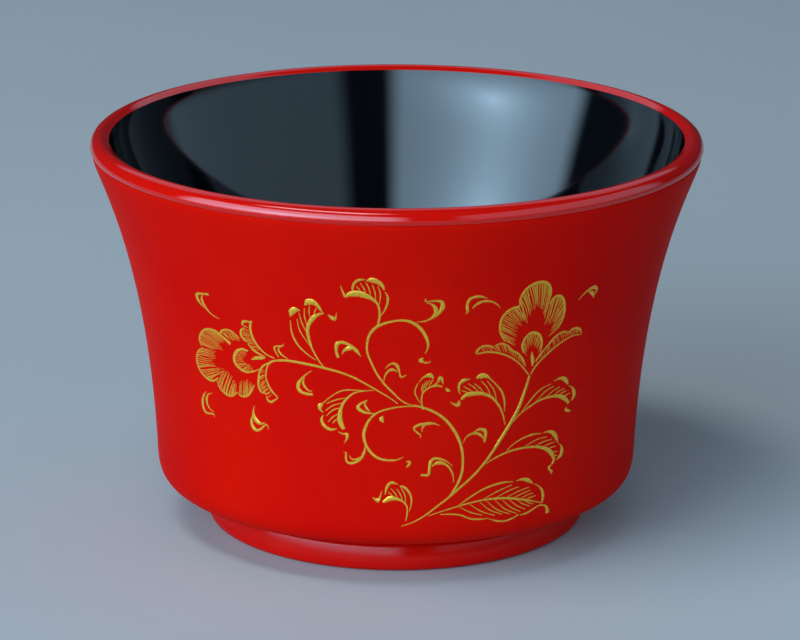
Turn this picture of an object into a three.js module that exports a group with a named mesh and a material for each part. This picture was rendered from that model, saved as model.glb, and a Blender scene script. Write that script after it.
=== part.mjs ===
// A small flared lacquer bowl on a ring foot, with a raised gold painting on its front.
// Millimetres, +Z up, origin at the middle of the foot's sole. The painting faces -Y.
import * as THREE from 'three';

// Driving dimensions
const COAT = 0.4; // thickness of every lacquer coat
const GAP = 0.05; // clearance between a coat and what it lies on
const SEGMENTS = 36; // facets round the bowl
const WALL_STEPS = 10;
const SHOULDER_STEPS = 5;
const BEAD_STEPS = 8;
const INNER_STEPS = 8;
const FLOOR_STEPS = 4;

const FOOT_CREASE = [37.2, 6.6]; // where the foot meets the bowl's underside
const FOOT_COAT_TOP = [37.2, 6.5]; // just below the crease, so that the two coats don't touch
const SHOULDER_TOP = [48.2, 15.5];
const CREASE_UNDER_BEAD = [60.4, 76];
const BEAD_EDGE = [57, 78.3]; // where the rim's red coat ends, inside the mouth
const LINING_EDGE = [56.95, 77.85]; // where the black coat starts, just under the red one
const LINING_TURN = [46, 42]; // the inside curves in faster below this
const FLOOR_EDGE = [22, 11.2]; // the floor is flat from here inwards

const RECESS_RADIUS = 33.5;
const SOLE_OUTER_RADIUS = 36.3;
const SOLE_INNER_RADIUS = 34.2;
const SOLE_CHAMFER = 0.7; // rise of the bevel from the sole's inner edge to the recess
const RECESS_COAT_START = 0.8; // how far above the table the recess coat stops

const ARC_RADIUS = 50; // the painting's sideways distances are arcs at this radius
const GOLD_GAP = 0.12;
const GOLD_RELIEF = 0.15;
const BRUSH_STEP = 2.2;
const WIDE_STROKE = 1.5; // a stroke wider than this gets a row of points along its middle

const RED_LACQUER = { color: '#b80a05', roughness: 0.12 };
const BLACK_LACQUER = { color: '#0a0d12', roughness: 0.12 };
const GOLD_PAINT = { color: '#b9962e', roughness: 0.35, metalness: 0.9 };
const WOOD = { color: '#9a7448', roughness: 0.7 };

// Outlines are lists of (radius, height)
function bezier(points, steps) {
  const corners = points.map(([radius, height]) => new THREE.Vector2(radius, height));
  return new THREE.CubicBezierCurve(...corners).getPoints(steps);
}

function smooth(points, steps) {
  const knots = points.map(([radius, height]) => new THREE.Vector2(radius, height));
  return new THREE.SplineCurve(knots).getPoints(steps);
}

// Moves an outline sideways: to its left, seen along its own direction, where distance is positive.
function offset(outline, distance) {
  return outline.map((point, i) => {
    const before = outline[Math.max(i - 1, 0)];
    const after = outline[Math.min(i + 1, outline.length - 1)];
    const along = after.clone().sub(before).normalize();
    return new THREE.Vector2(point.x - along.y * distance, point.y + along.x * distance);
  });
}

function piece(name, geometry, finish) {
  const mesh = new THREE.Mesh(geometry, new THREE.MeshStandardMaterial(finish));
  mesh.name = name;
  return mesh;
}

function turned(name, outline, finish) {
  const geometry = new THREE.LatheGeometry(outline, SEGMENTS);
  geometry.rotateX(Math.PI / 2);
  return piece(name, geometry, finish);
}

// A coat is the band between an outline that runs upwards and a copy of it on its inner side.
function coat(name, outline) {
  const inner = offset(outline, COAT).reverse();
  return turned(name, [...outline, ...inner, outline[0].clone()], RED_LACQUER);
}

const at = (radius, height) => new THREE.Vector2(radius, height);

// Finished outside, from the foot's crease up to the crease under the rim bead
const shoulder = bezier([FOOT_CREASE, [47.4, 8.1], [48, 9], SHOULDER_TOP], SHOULDER_STEPS);
const wall = bezier([SHOULDER_TOP, [50.2, 57.7], [60.5, 72.8], CREASE_UNDER_BEAD], WALL_STEPS);
const outside = [...shoulder, ...wall.slice(1)];
const FOOT_JOINT_HEIGHT = offset(outside, COAT + GAP)[0].y;

// Finished rim bead, from the crease over the crown to where the black lining starts
const BEAD_POINTS = [[60.3, 76.1], [60.75, 77.2], [60.1, 78.5], [58.6, 79.1], BEAD_EDGE];
const bead = smooth(BEAD_POINTS, BEAD_STEPS);

// Finished inside, from the black edge down to the middle of the floor
const lining = bezier([LINING_EDGE, [55.9, 70.5], [50.2, 57.5], LINING_TURN], INNER_STEPS);
const floor = bezier([LINING_TURN, [42.2, 28], [41, 11.4], FLOOR_EDGE], FLOOR_STEPS);
const inside = [...lining, ...floor.slice(1), at(0, FLOOR_EDGE[1])];

// Finished outside of the foot, from the rounded sole edge up to the crease
const footOutside = [at(37.4, 0.4), at(37.9, 1.1), at(38.05, 2.1), at(37.6, 4.6), at(...FOOT_COAT_TOP)];

function bowlCore() {
  const depth = COAT + GAP;
  const body = offset(outside, depth);
  const rim = offset(bead, depth);
  const hollow = offset(inside, depth).slice(0, -1);
  const middle = at(0, FLOOR_EDGE[1] - depth);
  const outline = [at(0, FOOT_JOINT_HEIGHT), ...body, ...rim, ...hollow, middle];
  return turned('bowl_core', outline, WOOD);
}

function innerBlackCoat() {
  const back = offset(inside, COAT).slice(0, -1).reverse();
  const middle = at(0, FLOOR_EDGE[1] - COAT);
  return turned('inner_black_coat', [middle, ...back, ...inside], BLACK_LACQUER);
}

function footRing() {
  const depth = COAT + GAP;
  const top = FOOT_JOINT_HEIGHT - GAP;
  const outer = offset(footOutside, depth);
  const outerTop = at(outer[outer.length - 1].x, top);
  const outline = [at(SOLE_INNER_RADIUS, 0), at(SOLE_OUTER_RADIUS, 0), ...outer, outerTop];
  outline.push(at(RECESS_RADIUS, top), at(RECESS_RADIUS, SOLE_CHAMFER));
  outline.push(outline[0].clone());
  return turned('foot_ring', outline, WOOD);
}

function recessBlackCoat() {
  const top = FOOT_JOINT_HEIGHT - GAP;
  const radius = RECESS_RADIUS - GAP;
  const ceiling = top - COAT;
  const outline = [at(0, ceiling), at(radius - COAT, ceiling), at(radius - COAT, RECESS_COAT_START)];
  outline.push(at(radius, RECESS_COAT_START), at(radius, top), at(0, top));
  return turned('recess_black_coat', outline, BLACK_LACQUER);
}

// The painting. A point is (arc, height): arc runs to the right from the front line.
function wallRadius(height) {
  const above = outside.findIndex((point) => point.y >= height);
  const low = outside[above - 1];
  const high = outside[above];
  return THREE.MathUtils.mapLinear(height, low.y, high.y, low.x, high.x);
}

function onWall(arc, height, lift) {
  const angle = arc / ARC_RADIUS;
  const radius = wallRadius(height) + lift;
  return [radius * Math.sin(angle), -radius * Math.cos(angle), height];
}

function widthAt(widths, fraction) {
  const place = fraction * (widths.length - 1);
  const i = Math.min(Math.floor(place), widths.length - 2);
  return THREE.MathUtils.lerp(widths[i], widths[i + 1], place - i);
}

// One brush mark: a thin plate along a spine, as wide as its widths say, bent onto the wall.
function goldMark(name, spine, widths) {
  const knots = spine.map(([arc, height]) => new THREE.Vector3(arc, height, 0));
  const curve = new THREE.CatmullRomCurve3(knots);
  const steps = Math.max(3, Math.ceil(curve.getLength() / BRUSH_STEP));
  const columns = Math.max(...widths) > WIDE_STROKE ? 3 : 2;
  const positions = [];
  for (let i = 0; i <= steps; i += 1) {
    const centre = curve.getPointAt(i / steps);
    const along = curve.getTangentAt(i / steps);
    for (const lift of [GOLD_GAP, GOLD_GAP + GOLD_RELIEF]) {
      for (let j = 0; j < columns; j += 1) {
        const side = widthAt(widths, i / steps) * (j / (columns - 1) - 0.5);
        positions.push(...onWall(centre.x + along.y * side, centre.y - along.x * side, lift));
      }
    }
  }
  const faces = [];
  const quad = (a, b, c, d) => faces.push(a, b, c, a, c, d);
  const row = columns * 2;
  for (let i = 0; i < steps; i += 1) {
    const here = i * row;
    for (let j = 0; j < columns - 1; j += 1) {
      const low = here + j;
      const high = low + columns;
      quad(high, high + 1, high + 1 + row, high + row);
      quad(low + 1, low, low + row, low + row + 1);
    }
    const right = here + columns - 1;
    quad(here, here + columns, here + columns + row, here + row);
    quad(right + columns, right, right + row, right + columns + row);
  }
  for (let j = 0; j < columns - 1; j += 1) {
    const end = steps * row + j;
    quad(j + 1, j + 1 + columns, j + columns, j);
    quad(end, end + columns, end + 1 + columns, end + 1);
  }
  const geometry = new THREE.BufferGeometry();
  geometry.setAttribute('position', new THREE.Float32BufferAttribute(positions, 3));
  geometry.setIndex(faces);
  geometry.computeVertexNormals();
  return piece(name, geometry, GOLD_PAINT);
}

function stems() {
  const root = [[1.2, 13.2], [5.5, 15.2], [10.7, 18.9], [15.5, 22.9]];
  const main = [...root, [19.5, 27.6], [22.8, 32.8], [25.1, 38], [26, 41.6]];
  const fork = [[11.9, 21.2], [12.9, 23.2], [13.3, 25.6], [12.9, 28.6]];
  const scroll = [...fork, [11.7, 31.8], [9.6, 34.9], [7, 36.9], [4.6, 37.8]];
  const rise = [[3.2, 38.5], [1, 39.3], [-1.4, 41.8], [-3.5, 44.7], [-4.9, 48], [-5.2, 51]];
  const turn = [[-4.2, 53.8], [-2.3, 55.3], [0.9, 56.1], [3.4, 55.1], [5.1, 53], [5.7, 50.8], [5.3, 49.2]];
  const fall = [[3.4, 37.7], [1, 37.8], [-1.6, 37.4], [-4.2, 36.1], [-5.9, 33.3]];
  const hook = [[-6.1, 30.9], [-5.2, 28.8], [-2.9, 27], [-0.5, 26.8], [1.4, 27.4]];
  const left = [[0.2, 38.7], [-3.7, 41.4], [-8.3, 44], [-13.5, 45.4], [-20, 46.1], [-23.3, 45.7]];
  return [
    goldMark('gold_main_stem', main, [0.3, 0.5, 0.7, 0.7, 0.4]),
    goldMark('gold_scroll_stem', scroll, [0.4, 0.6, 0.7, 0.5]),
    goldMark('gold_upper_tendril', [...rise, ...turn], [0.4, 0.5, 0.6, 0.5, 0.7, 0.3]),
    goldMark('gold_lower_tendril', [...fall, ...hook], [0.3, 0.5, 0.7, 0.6, 0.2]),
    goldMark('gold_left_stem', left, [0.35, 0.6, 0.7, 0.6, 0.5]),
  ];
}

function leaves() {
  const leftUp = [[-13.7, 46.4], [-15.6, 49], [-17.3, 52], [-17.4, 55], [-15.6, 58]];
  const top = [[-3.2, 55.8], [-2.6, 58.5], [-3.2, 61], [-5.2, 63], [-7.2, 62.6]];
  const leftDown = [[-5.2, 41.2], [-8.5, 40.4], [-11.3, 38.4], [-12.6, 35.6], [-11.8, 33]];
  const centre = [[5, 38.7], [4.7, 40.5], [5.6, 42.3], [7.6, 43]];
  const lowLeft = [[2.1, 14.8], [2.6, 17.2], [1.6, 19.6], [-0.8, 20.6]];
  const rightInner = [[21.5, 33.4], [20.6, 37.2], [18.3, 40.2], [15.2, 41.7], [12.8, 41.2]];
  const rightOuter = [[24.6, 34.4], [28, 36.8], [31.5, 38.4], [35, 38], [36.8, 36.2]];
  const rightMiddle = [[19.4, 25.6], [23, 27.3], [27.5, 28.3], [31.8, 27.8], [34.4, 25.4]];
  const bottom = [[8.2, 15.6], [13, 16.3], [20, 16.7], [27, 16.7], [31.5, 15.6]];
  return [
    goldMark('gold_leaf_left_up', leftUp, [0.4, 2.2, 3.6, 4.4, 2.5]),
    goldMark('gold_leaf_top', top, [0.4, 1.6, 3, 3.6, 2]),
    goldMark('gold_leaf_left_down', leftDown, [0.4, 1.5, 4, 4, 2.5]),
    goldMark('gold_leaf_centre', centre, [0.4, 1.8, 2.8, 2]),
    goldMark('gold_leaf_low_left', lowLeft, [0.4, 1.2, 3, 2.6]),
    goldMark('gold_leaf_right_inner', rightInner, [0.4, 1.8, 3.6, 3.6, 2.4]),
    goldMark('gold_leaf_right_outer', rightOuter, [0.4, 1.8, 3, 3.4, 2]),
    goldMark('gold_leaf_right_middle', rightMiddle, [0.4, 1, 2.6, 3.2, 2.4]),
    goldMark('gold_leaf_bottom', bottom, [0.4, 3, 7, 6, 2]),
  ];
}

function leftFlower() {
  const heart = [[-28.8, 46.7], [-30.6, 46.7], [-32, 45.4], [-32, 43.6], [-30.6, 42.5], [-28.6, 42.7]];
  const upperSepal = [[-24.6, 46.8], [-26.6, 47.6], [-28.2, 49.6], [-28.4, 52.4]];
  const lowerSepal = [[-24.9, 44.3], [-26, 42], [-26, 39.6], [-24.8, 37.6]];
  return [
    goldMark('gold_left_flower_petal_1', [[-35, 46.7], [-37.5, 47.4], [-40, 47.3]], [2.6, 4, 3]),
    goldMark('gold_left_flower_petal_2', [[-34.4, 49.6], [-32.6, 49.6], [-31, 49]], [0.8, 1.6, 1]),
    goldMark('gold_left_flower_petal_3', [[-37, 43], [-39.6, 42], [-42, 41.4]], [3.4, 5.2, 4]),
    goldMark('gold_left_flower_petal_4', [[-34, 41], [-35, 39], [-35.6, 37]], [3, 4, 3.2]),
    goldMark('gold_left_flower_petal_5', [[-31, 40.2], [-30.8, 38.6], [-30.9, 37.1]], [2.8, 3, 2.4]),
    goldMark('gold_left_flower_heart', heart, [0.6, 1.4, 1.8, 1.8, 1.4, 0.5]),
    goldMark('gold_left_flower_pistil', [[-28.1, 45.2], [-26.8, 45.4], [-25.5, 45.7]], [0.4, 0.9, 0.4]),
    goldMark('gold_left_flower_upper_sepal', upperSepal, [0.4, 1.2, 2.2, 1.6]),
    goldMark('gold_left_flower_lower_sepal', lowerSepal, [0.4, 1.5, 1.9, 1.3]),
  ];
}

function rightFlower() {
  const heart = [[24.3, 47.8], [24.4, 49.6], [25.7, 50.9], [27.2, 50], [27.6, 48]];
  const leftSepal = [[25.2, 44.2], [23.2, 46.4], [20, 48.6], [16, 49.1]];
  const rightSepal = [[27.3, 44.6], [29.6, 47], [32.6, 49.3], [36.4, 49.8]];
  return [
    goldMark('gold_right_flower_petal_1', [[22.5, 52.6], [21.4, 54.3], [20.3, 56]], [3.6, 4.4, 3.2]),
    goldMark('gold_right_flower_petal_2', [[25.8, 57], [25.5, 59.2], [25.3, 61.6]], [3.4, 5.2, 3.4]),
    goldMark('gold_right_flower_petal_3', [[29.6, 52.8], [30.1, 55.2], [30.2, 57.9]], [2.6, 3.6, 2.4]),
    goldMark('gold_right_flower_heart', heart, [0.6, 1.2, 1.5, 1.2, 0.6]),
    goldMark('gold_right_flower_pistil', [[26.1, 47.2], [26.4, 45.8], [26.4, 44.4]], [0.4, 0.9, 0.4]),
    goldMark('gold_right_flower_left_sepal', leftSepal, [0.4, 1, 2, 1.4]),
    goldMark('gold_right_flower_right_sepal', rightSepal, [0.4, 1.2, 2.2, 1.6]),
  ];
}

// Small loose crescents, numbered from the left, and the dabs that end the tendrils
function curls() {
  const spines = [
    [[-40.2, 35.8], [-41.8, 34.4], [-42.2, 32.4], [-41.2, 31.2], [-39.7, 31.1]],
    [[-36.1, 57], [-38.7, 56.7], [-38.5, 54.6], [-37, 53], [-34.8, 52.4]],
    [[-28.8, 35.2], [-29.3, 33], [-28.8, 31.3], [-27.4, 31.2], [-26.2, 31.8]],
    [[-21, 47], [-22.3, 48], [-22, 49], [-21.2, 49.2]],
    [[-15.9, 44.2], [-17.7, 42.6], [-18.3, 40.9], [-17.3, 39.9], [-16, 39.8]],
    [[-6.6, 48.6], [-8.2, 50], [-10, 50.6], [-10.7, 49.4], [-10.6, 47.8]],
    [[-6.6, 28.4], [-7.3, 26.8], [-8.8, 26.3], [-9.6, 27], [-9.8, 28.1]],
    [[-5.2, 37.1], [-6.5, 37.2], [-6.6, 38.2], [-5.6, 39.1]],
    [[-1.9, 44.8], [-1.2, 46.1], [0, 46], [0.8, 44.4], [1.8, 44.5]],
    [[8.3, 33.9], [6, 34.3], [4.2, 33.7], [4.2, 32.7], [4.9, 31.7]],
    [[4.6, 56.3], [6.6, 57], [7.4, 58.6], [6.8, 59.8], [5, 60.2]],
    [[11.2, 22.6], [10.4, 25.2], [8.4, 26.4], [6.9, 25.7], [6.5, 23.9], [5.1, 23.7]],
    [[12.3, 57.4], [12.4, 59.2], [13.8, 60], [15.8, 59.6], [18.3, 57.7]],
    [[13.9, 30.8], [15.4, 31.8], [17, 31.5], [17.4, 29.9]],
    [[34.9, 57], [36.4, 58.4], [37.9, 58.6], [38.4, 57.6]],
  ];
  const marks = spines.map((spine, i) => goldMark(`gold_curl_${i + 1}`, spine, [0.3, 0.8, 1.1, 0.8, 0.3]));
  return [
    ...marks,
    goldMark('gold_dab_drop', [[-2.5, 35.9], [-2.6, 35.3], [-2.4, 34.8]], [0.2, 0.7, 0.4]),
    goldMark('gold_dab_lower', [[2.4, 26.6], [2.6, 26], [2, 25.4]], [0.4, 0.7, 0.3]),
    goldMark('gold_dab_upper', [[4.3, 47.9], [4.9, 47.4], [6, 47.1]], [0.4, 0.8, 0.3]),
  ];
}

const bowl = new THREE.Group();
bowl.add(bowlCore(), footRing(), innerBlackCoat(), recessBlackCoat());
bowl.add(coat('outer_red_coat', outside), coat('rim_red_coat', bead), coat('foot_red_coat', footOutside));
bowl.add(...stems(), ...leaves(), ...leftFlower(), ...rightFlower(), ...curls());

export default bowl;
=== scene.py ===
"""A small flared lacquer bowl: polished red outside, black inside, with a raised gold painting.

Outlines, brush marks and the camera's place are millimetres in the bowl's own frame, and are scaled
to metres where they reach Blender. The lights, the floor and the lacquers' textures are in metres.
A point of the painting is (arc, height): arc runs to the right from the front line, measured
on a circle of ARC_RADIUS, and height is above the table.
"""
import math
import random

import bpy
import numpy as np
from mathutils import Euler, Matrix, Vector


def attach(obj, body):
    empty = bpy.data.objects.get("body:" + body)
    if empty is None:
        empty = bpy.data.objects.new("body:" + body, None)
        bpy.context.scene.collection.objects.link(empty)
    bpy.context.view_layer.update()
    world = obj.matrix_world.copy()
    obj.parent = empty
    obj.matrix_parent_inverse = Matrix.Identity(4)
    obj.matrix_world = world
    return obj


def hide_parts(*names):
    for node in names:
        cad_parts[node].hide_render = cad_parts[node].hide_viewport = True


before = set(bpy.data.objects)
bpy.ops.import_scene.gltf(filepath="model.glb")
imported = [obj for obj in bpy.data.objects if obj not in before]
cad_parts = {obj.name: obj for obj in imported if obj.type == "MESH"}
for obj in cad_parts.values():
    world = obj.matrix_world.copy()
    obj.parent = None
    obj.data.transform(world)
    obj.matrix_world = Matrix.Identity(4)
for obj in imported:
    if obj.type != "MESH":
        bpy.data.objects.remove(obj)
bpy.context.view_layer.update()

MM = 0.001
ARC_RADIUS = 50.0
COAT = 0.4        # thickness of a lacquer coat
GAP = 0.05        # clearance between a coat and the wood
SEGMENTS = 192    # facets round a turned piece
rng = random.Random(7)


# ---------------------------------------------------------------- camera
CAMERA_DISTANCE = 800
CAMERA_HEIGHT = 278.6
CAMERA_LENS = 187
CAMERA_PITCH = 16.6
CAMERA_YAW = 0.053
CAMERA_ROLL = 0.21


def make_camera():
    data = bpy.data.cameras.new("camera")
    data.lens = CAMERA_LENS
    data.sensor_width = 36
    camera = bpy.data.objects.new("camera", data)
    bpy.context.scene.collection.objects.link(camera)
    tilt = Euler((math.radians(90 - CAMERA_PITCH), 0, math.radians(-CAMERA_YAW))).to_matrix()
    roll = Matrix.Rotation(math.radians(CAMERA_ROLL), 3, "Z")
    camera.matrix_world = (tilt @ roll).to_4x4()
    camera.location = Vector((0, -CAMERA_DISTANCE, CAMERA_HEIGHT)) * MM
    data.clip_start = 0.05
    bpy.context.scene.camera = camera


# ---------------------------------------------------------------- outlines, as (radius, height)
CREASE_UNDER_BEAD = (60.4, 76.0)
SHOULDER_TOP = (48.2, 15.5)
FOOT_CREASE = (37.2, 6.6)
BEAD_EDGE = (57.0, 78.3)
LINING_TURN = (46.0, 42.0)
FLOOR_EDGE = (22.0, 11.2)
EDGE_UNDER_BEAD = [(60.34, 76.07), (60.1, 76.1)]         # the red coat's edge, tucked in under the bead
LINING_TUCK = np.array([0.35, -0.3])                     # from the bead's inner edge to the lining's back
RECESS_RADIUS = 33.5
RECESS_CEILING = 6.6
RECESS_TOP = RECESS_CEILING + COAT
RECESS_RIM = 0.55                                        # height of the recess coat's lower edge
RECESS_CORNER = [(-0.9, 0), (-0.15, -0.2), (0, -0.9)]    # from where its wall would meet its ceiling
RING_TOP = 6.7                                           # heights of the wood ring's inner wall
RING_BOTTOM = 1.0


def bezier(a, b, c, d, steps):
    t = np.linspace(0, 1, steps + 1)[:, None]
    a, b, c, d = (np.array(p, float) for p in (a, b, c, d))
    return (1 - t) ** 3 * a + 3 * (1 - t) ** 2 * t * b + 3 * (1 - t) * t ** 2 * c + t ** 3 * d


def spline(knots, steps):
    """Catmull-Rom curve through the knots, with the same number of steps between each two."""
    p = np.array(knots, float)
    p = np.vstack([2 * p[0] - p[1], p, 2 * p[-1] - p[-2]])
    out = []
    for i in range(1, len(p) - 2):
        t = np.linspace(0, 1, steps, endpoint=False)[:, None]
        a, b, c, d = p[i - 1:i + 3]
        cubic = (2 * b, c - a, 2 * a - 5 * b + 4 * c - d, 3 * b - a - 3 * c + d)
        out.append(0.5 * sum(k * t ** n for n, k in enumerate(cubic)))
    return np.vstack([*out, p[-2:-1]])


def offset(outline, distance):
    """The outline moved to its left, seen along its own direction."""
    along = np.gradient(outline, axis=0)
    along /= np.linalg.norm(along, axis=1)[:, None]
    return outline + distance * np.column_stack([-along[:, 1], along[:, 0]])


BEAD_KNOTS = [(60.2, 76), (60.52, 76.35), (60.75, 77.2), (60.1, 78.5), (58.6, 79.1), BEAD_EDGE]
FOOT_KNOTS = [(34.2, 0.5), (34.5, 0.12), (35.2, 0.01), (36.5, 0.05), (37.4, 0.4), (37.9, 1.1),
              (38.05, 2.1), (37.95, 3.2), (37.65, 4.6), (37.4, 5.3), (36.9, 5.8), (36.2, 6.0)]

shoulder = bezier(FOOT_CREASE, (47.4, 8.1), (48, 9), SHOULDER_TOP, steps=24)
wall = bezier(SHOULDER_TOP, (50.2, 57.7), (60.5, 72.8), CREASE_UNDER_BEAD, steps=56)
outside = np.vstack([shoulder, wall[1:]])
bead = spline(BEAD_KNOTS, steps=8)
lining = bezier(BEAD_EDGE, (55.9, 70.5), (50.2, 57.5), LINING_TURN, steps=44)
bowl_floor = bezier(LINING_TURN, (42.2, 28), (41, 11.4), FLOOR_EDGE, steps=28)
inside = np.vstack([lining, bowl_floor[1:]])
foot_outside = spline(FOOT_KNOTS, steps=5)


# ---------------------------------------------------------------- meshes
def solid(name, points, faces, material, sharp_degrees=38, **values):
    """A mesh object from points in millimetres, with optional numbers for each point."""
    mesh = bpy.data.meshes.new(name)
    mesh.from_pydata([tuple(float(v) * MM for v in p) for p in points], [], faces)
    mesh.polygons.foreach_set("use_smooth", [True] * len(mesh.polygons))
    mesh.set_sharp_from_angle(angle=math.radians(sharp_degrees))
    for key, numbers in values.items():
        mesh.attributes.new(key, "FLOAT", "POINT").data.foreach_set("value", numbers)
    mesh.materials.append(material)
    piece = bpy.data.objects.new(name, mesh)
    bpy.context.scene.collection.objects.link(piece)
    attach(piece, "root")
    return piece


def turned(name, outline, material, node, closed=True):
    """A surface of revolution. Its outline runs anticlockwise, and ends on the axis if not closed."""
    angles = np.linspace(0, 2 * math.pi, SEGMENTS, endpoint=False)
    rings, points, faces = [], [], []
    for radius, height in outline:
        if radius < 1e-6:
            rings.append([len(points)] * SEGMENTS)
            points.append((0, 0, height))
            continue
        rings.append(list(range(len(points), len(points) + SEGMENTS)))
        points += [(radius * math.sin(a), -radius * math.cos(a), height) for a in angles]
    pairs = list(zip(rings, rings[1:]))
    if closed:
        pairs.append((rings[-1], rings[0]))
    for low, high in pairs:
        for i in range(SEGMENTS):
            j = (i + 1) % SEGMENTS
            corners = dict.fromkeys((low[i], low[j], high[j], high[i]))
            faces.append(tuple(corners))
    piece = solid(name, points, faces, material)
    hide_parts(node)
    return piece


def coat(name, outline, material, node):
    return turned(name, np.vstack([outline, offset(outline, COAT)[::-1]]), material, node)


# ---------------------------------------------------------------- materials
def feed(tree, target, value):
    """Wire a socket to another node's output, or set it to a plain value."""
    if isinstance(value, bpy.types.NodeSocket):
        tree.links.new(value, target)
    else:
        target.default_value = value


class Nodes:
    """A material whose Principled shader's sockets are set or wired by name."""

    def __init__(self, name, **sockets):
        self.material = bpy.data.materials.new(name)
        self.material.use_nodes = True
        self.tree = self.material.node_tree
        self.shader = self.tree.nodes["Principled BSDF"]
        for socket, value in sockets.items():
            self.shader.inputs[socket.replace("_", " ")].default_value = value

    def add(self, kind, settings=None, **sockets):
        node = self.tree.nodes.new(kind)
        for key, value in (settings or {}).items():
            setattr(node, key, value)
        for socket, value in sockets.items():
            feed(self.tree, node.inputs[socket.replace("_", " ")], value)
        return node

    def wire(self, output, socket):
        self.tree.links.new(output, self.shader.inputs[socket])

    def coordinates(self):
        return self.add("ShaderNodeTexCoord").outputs["Object"]

    def noise(self, scale, detail, vector=None):
        vector = vector or self.coordinates()
        return self.add("ShaderNodeTexNoise", Vector=vector, Scale=scale, Detail=detail).outputs["Fac"]

    def ramp(self, value, *stops):
        node = self.add("ShaderNodeValToRGB", Fac=value)
        ramp = node.color_ramp
        while len(ramp.elements) < len(stops):
            ramp.elements.new(0.5)
        for element, (position, color) in zip(ramp.elements, stops):
            element.position = position
            element.color = (*color, 1)
        return node.outputs["Color"]

    def math(self, operation, a, b):
        node = self.add("ShaderNodeMath", {"operation": operation})
        for target, value in zip(node.inputs, (a, b)):
            feed(self.tree, target, value)
        return node.outputs[0]

    def mix(self, factor, a, b):
        """The colour a where the factor is 0, and b where it is 1."""
        node = self.add("ShaderNodeMix", {"data_type": "RGBA"})
        for i, value in ((0, factor), (6, a), (7, b)):    # where the node keeps its colour inputs
            feed(self.tree, node.inputs[i], value)
        return node.outputs[2]

    def bump(self, height, distance, strength=1.0, normal=None):
        node = self.add("ShaderNodeBump", Height=height, Distance=distance, Strength=strength)
        if normal:
            feed(self.tree, node.inputs["Normal"], normal)
        return node.outputs["Normal"]


def grey(value):
    return (value, value, value)


SPECKS_PER_METRE = 190
SPECK_SIZE = 0.035     # as a share of the distance between specks
SPECK_CHANCE = 0.82    # a speck shows where its random number is above this


def specks(m):
    """1 at the middle of a few scattered dots and 0 elsewhere: dust caught in the lacquer."""
    dots = m.add("ShaderNodeTexVoronoi", Vector=m.coordinates(), Scale=SPECKS_PER_METRE, Randomness=1.0)
    near = m.math("LESS_THAN", dots.outputs["Distance"], SPECK_SIZE)
    number = m.add("ShaderNodeSeparateColor", Color=dots.outputs["Color"]).outputs[0]
    return m.math("MULTIPLY", near, m.math("GREATER_THAN", number, SPECK_CHANCE))


def lacquer(name, deep, light, gloss, haze):
    """Polished lacquer: a clear coat over a matt colour, with slow colour drift, faint waviness
    and a few dust nibs. gloss is how strongly the clear coat reflects, and haze is its roughness."""
    m = Nodes(name, Roughness=0.55, Specular_IOR_Level=0.0, Coat_Weight=gloss, Coat_Roughness=haze)
    m.wire(m.ramp(m.noise(24, detail=3), (0.3, deep), (0.7, light)), "Base Color")
    m.wire(m.ramp(m.noise(160, detail=4), (0.3, grey(0.45)), (0.75, grey(0.65))), "Roughness")
    wave = m.bump(m.noise(70, detail=1), distance=0.00002)
    nib = m.bump(specks(m), distance=0.00006, normal=wave)
    m.wire(nib, "Normal")
    m.wire(nib, "Coat Normal")
    return m.material


def wood(name):
    m = Nodes(name, Roughness=0.6)
    stretched = m.add("ShaderNodeMapping", Vector=m.coordinates(), Scale=(1, 1, 0.12)).outputs["Vector"]
    rings = m.add("ShaderNodeTexWave", {"wave_type": "RINGS", "rings_direction": "X"}, Vector=stretched,
                  Scale=70, Distortion=5, Detail=3)
    pale, dark = (0.42, 0.26, 0.13), (0.24, 0.13, 0.055)
    m.wire(m.ramp(rings.outputs["Fac"], (0.1, pale), (0.8, dark)), "Base Color")
    m.wire(m.bump(m.noise(900, detail=4, vector=stretched), distance=0.00003), "Normal")
    return m.material


def gold(name):
    """Gold powder brushed on in lacquer: dense where the brush was full, thin and tawny at its ends.

    It reads the numbers that gold_piece() gives each point of a mark.
    """
    m = Nodes(name, Metallic=0.55, Roughness=0.4)
    across = m.add("ShaderNodeAttribute", {"attribute_name": "across"}).outputs["Fac"]
    along = m.add("ShaderNodeAttribute", {"attribute_name": "along"}).outputs["Fac"]
    load = m.add("ShaderNodeAttribute", {"attribute_name": "load"}).outputs["Fac"]
    bristles = m.add("ShaderNodeCombineXYZ", X=m.math("MULTIPLY", along, 0.35), Y=across, Z=load)
    streak = m.noise(6, detail=3, vector=bristles.outputs["Vector"])
    powder = m.noise(5200, detail=2)
    rich = m.ramp(streak, (0.32, (0.48, 0.24, 0.008)), (0.5, (0.76, 0.41, 0.02)),
                  (0.72, (0.95, 0.63, 0.1)))
    thin = m.ramp(streak, (0.35, (0.52, 0.17, 0.008)), (0.7, (0.78, 0.37, 0.03)))
    painted = m.mix(load, thin, rich)
    grains = m.math("MULTIPLY", powder, 0.2)
    m.wire(m.mix(grains, painted, (0.5, 0.2, 0.02, 1)), "Base Color")
    m.wire(m.ramp(streak, (0.3, grey(0.5)), (0.7, grey(0.32))), "Roughness")
    grainy = m.bump(powder, distance=0.00001, strength=0.6)
    m.wire(m.bump(streak, distance=0.00003, strength=0.8, normal=grainy), "Normal")
    return m.material


def floor_paint(name):
    m = Nodes(name, Roughness=0.7, Specular_IOR_Level=0.3)
    m.wire(m.ramp(m.noise(6, detail=2), (0.3, (0.42, 0.405, 0.39)), (0.7, (0.44, 0.425, 0.41))),
           "Base Color")
    return m.material


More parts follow.
